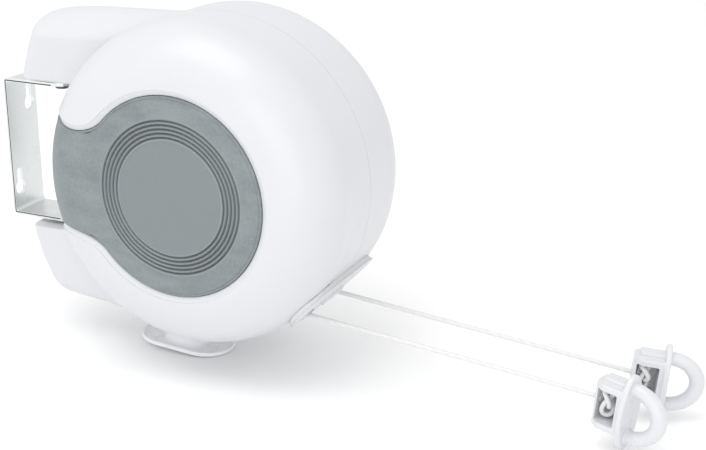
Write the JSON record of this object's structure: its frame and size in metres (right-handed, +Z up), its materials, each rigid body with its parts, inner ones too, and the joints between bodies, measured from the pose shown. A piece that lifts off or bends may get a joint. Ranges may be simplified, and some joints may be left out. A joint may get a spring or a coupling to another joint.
{
  "type": "retractable clothesline",
  "caption": "Wall-mounted retractable clothesline: a round swivelling case with a sprung drum, two lines and ringed end fittings.",
  "frame": {"origin": "centre of the wall bracket's back face, where it meets the wall", "axes": "+X away from the wall along the lines, +Y along the drum's axis to the right of someone facing the wall, +Z up"},
  "size_m": [0.4012, 0.114, 0.1975],
  "materials": {
    "white_plastic": "satin",
    "drum_plastic": "satin",
    "grey_plastic": "satin, slightly mottled",
    "plated_steel": "zinc plated",
    "dark_steel": "oiled",
    "nylon": "satin",
    "brass": "turned",
    "white_line": "matt"
  },
  "bodies": {
    "bracket": {"wall_bracket": "plated_steel", "upper_pivot_pin": "dark_steel", "lower_pivot_pin": "dark_steel", "upper_pivot_washer": "nylon", "lower_pivot_washer": "nylon"},
    "case": {"left_shell": "white_plastic", "right_shell": "white_plastic", "left_cover": "grey_plastic", "right_cover": "grey_plastic", "outlet_plate": "white_plastic", "left_eyelet": "nylon", "right_eyelet": "nylon", "line_lock_cleat": "white_plastic", "left_cleat_screw": "plated_steel", "right_cleat_screw": "plated_steel", "drum_axle": "plated_steel", "spring_arbor": "grey_plastic", "case_screw_1": "plated_steel", "case_screw_2": "plated_steel", "case_screw_3": "plated_steel", "case_screw_4": "plated_steel", "upper_lobe_screw": "plated_steel", "lower_lobe_screw": "plated_steel", "left_line": "white_line", "right_line": "white_line"},
    "drum": {"line_drum": "drum_plastic", "spring_lid": "grey_plastic", "left_drum_bush": "brass", "right_drum_bush": "brass", "power_spring": "dark_steel", "left_line_coil": "white_line", "right_line_coil": "white_line"},
    "left_line_end": {"left_end_fitting": "white_plastic", "left_knot": "white_line"},
    "right_line_end": {"right_end_fitting": "white_plastic", "right_knot": "white_line"}
  },
  "joints": [
    {"name": "case_swivel", "type": "hinge", "parent": "bracket", "child": "case", "pos_m": [0.032, 0, 0], "axis": [0, 0, 1], "range_deg": [-60, 60]},
    {"name": "drum_spin", "type": "hinge", "parent": "case", "child": "drum", "pos_m": [0.137, 0, 0], "axis": [0, 1, 0], "range_deg": [0, 137], "deforming": ["power_spring"]},
    {"name": "left_line_slide", "type": "slide", "parent": "case", "child": "left_line_end", "axis": [0.9959, 0, -0.0906], "range_m": [-0.15, 0], "deforming": ["left_line"]},
    {"name": "right_line_slide", "type": "slide", "parent": "case", "child": "right_line_end", "axis": [0.9959, 0, -0.0906], "range_m": [-0.15, 0], "deforming": ["right_line"]}
  ],
  "couplings": [
    {"joint": "left_line_slide", "follows": "drum_spin", "m_per_rad": -0.0627},
    {"joint": "right_line_slide", "follows": "drum_spin", "m_per_rad": -0.0627}
  ]
}
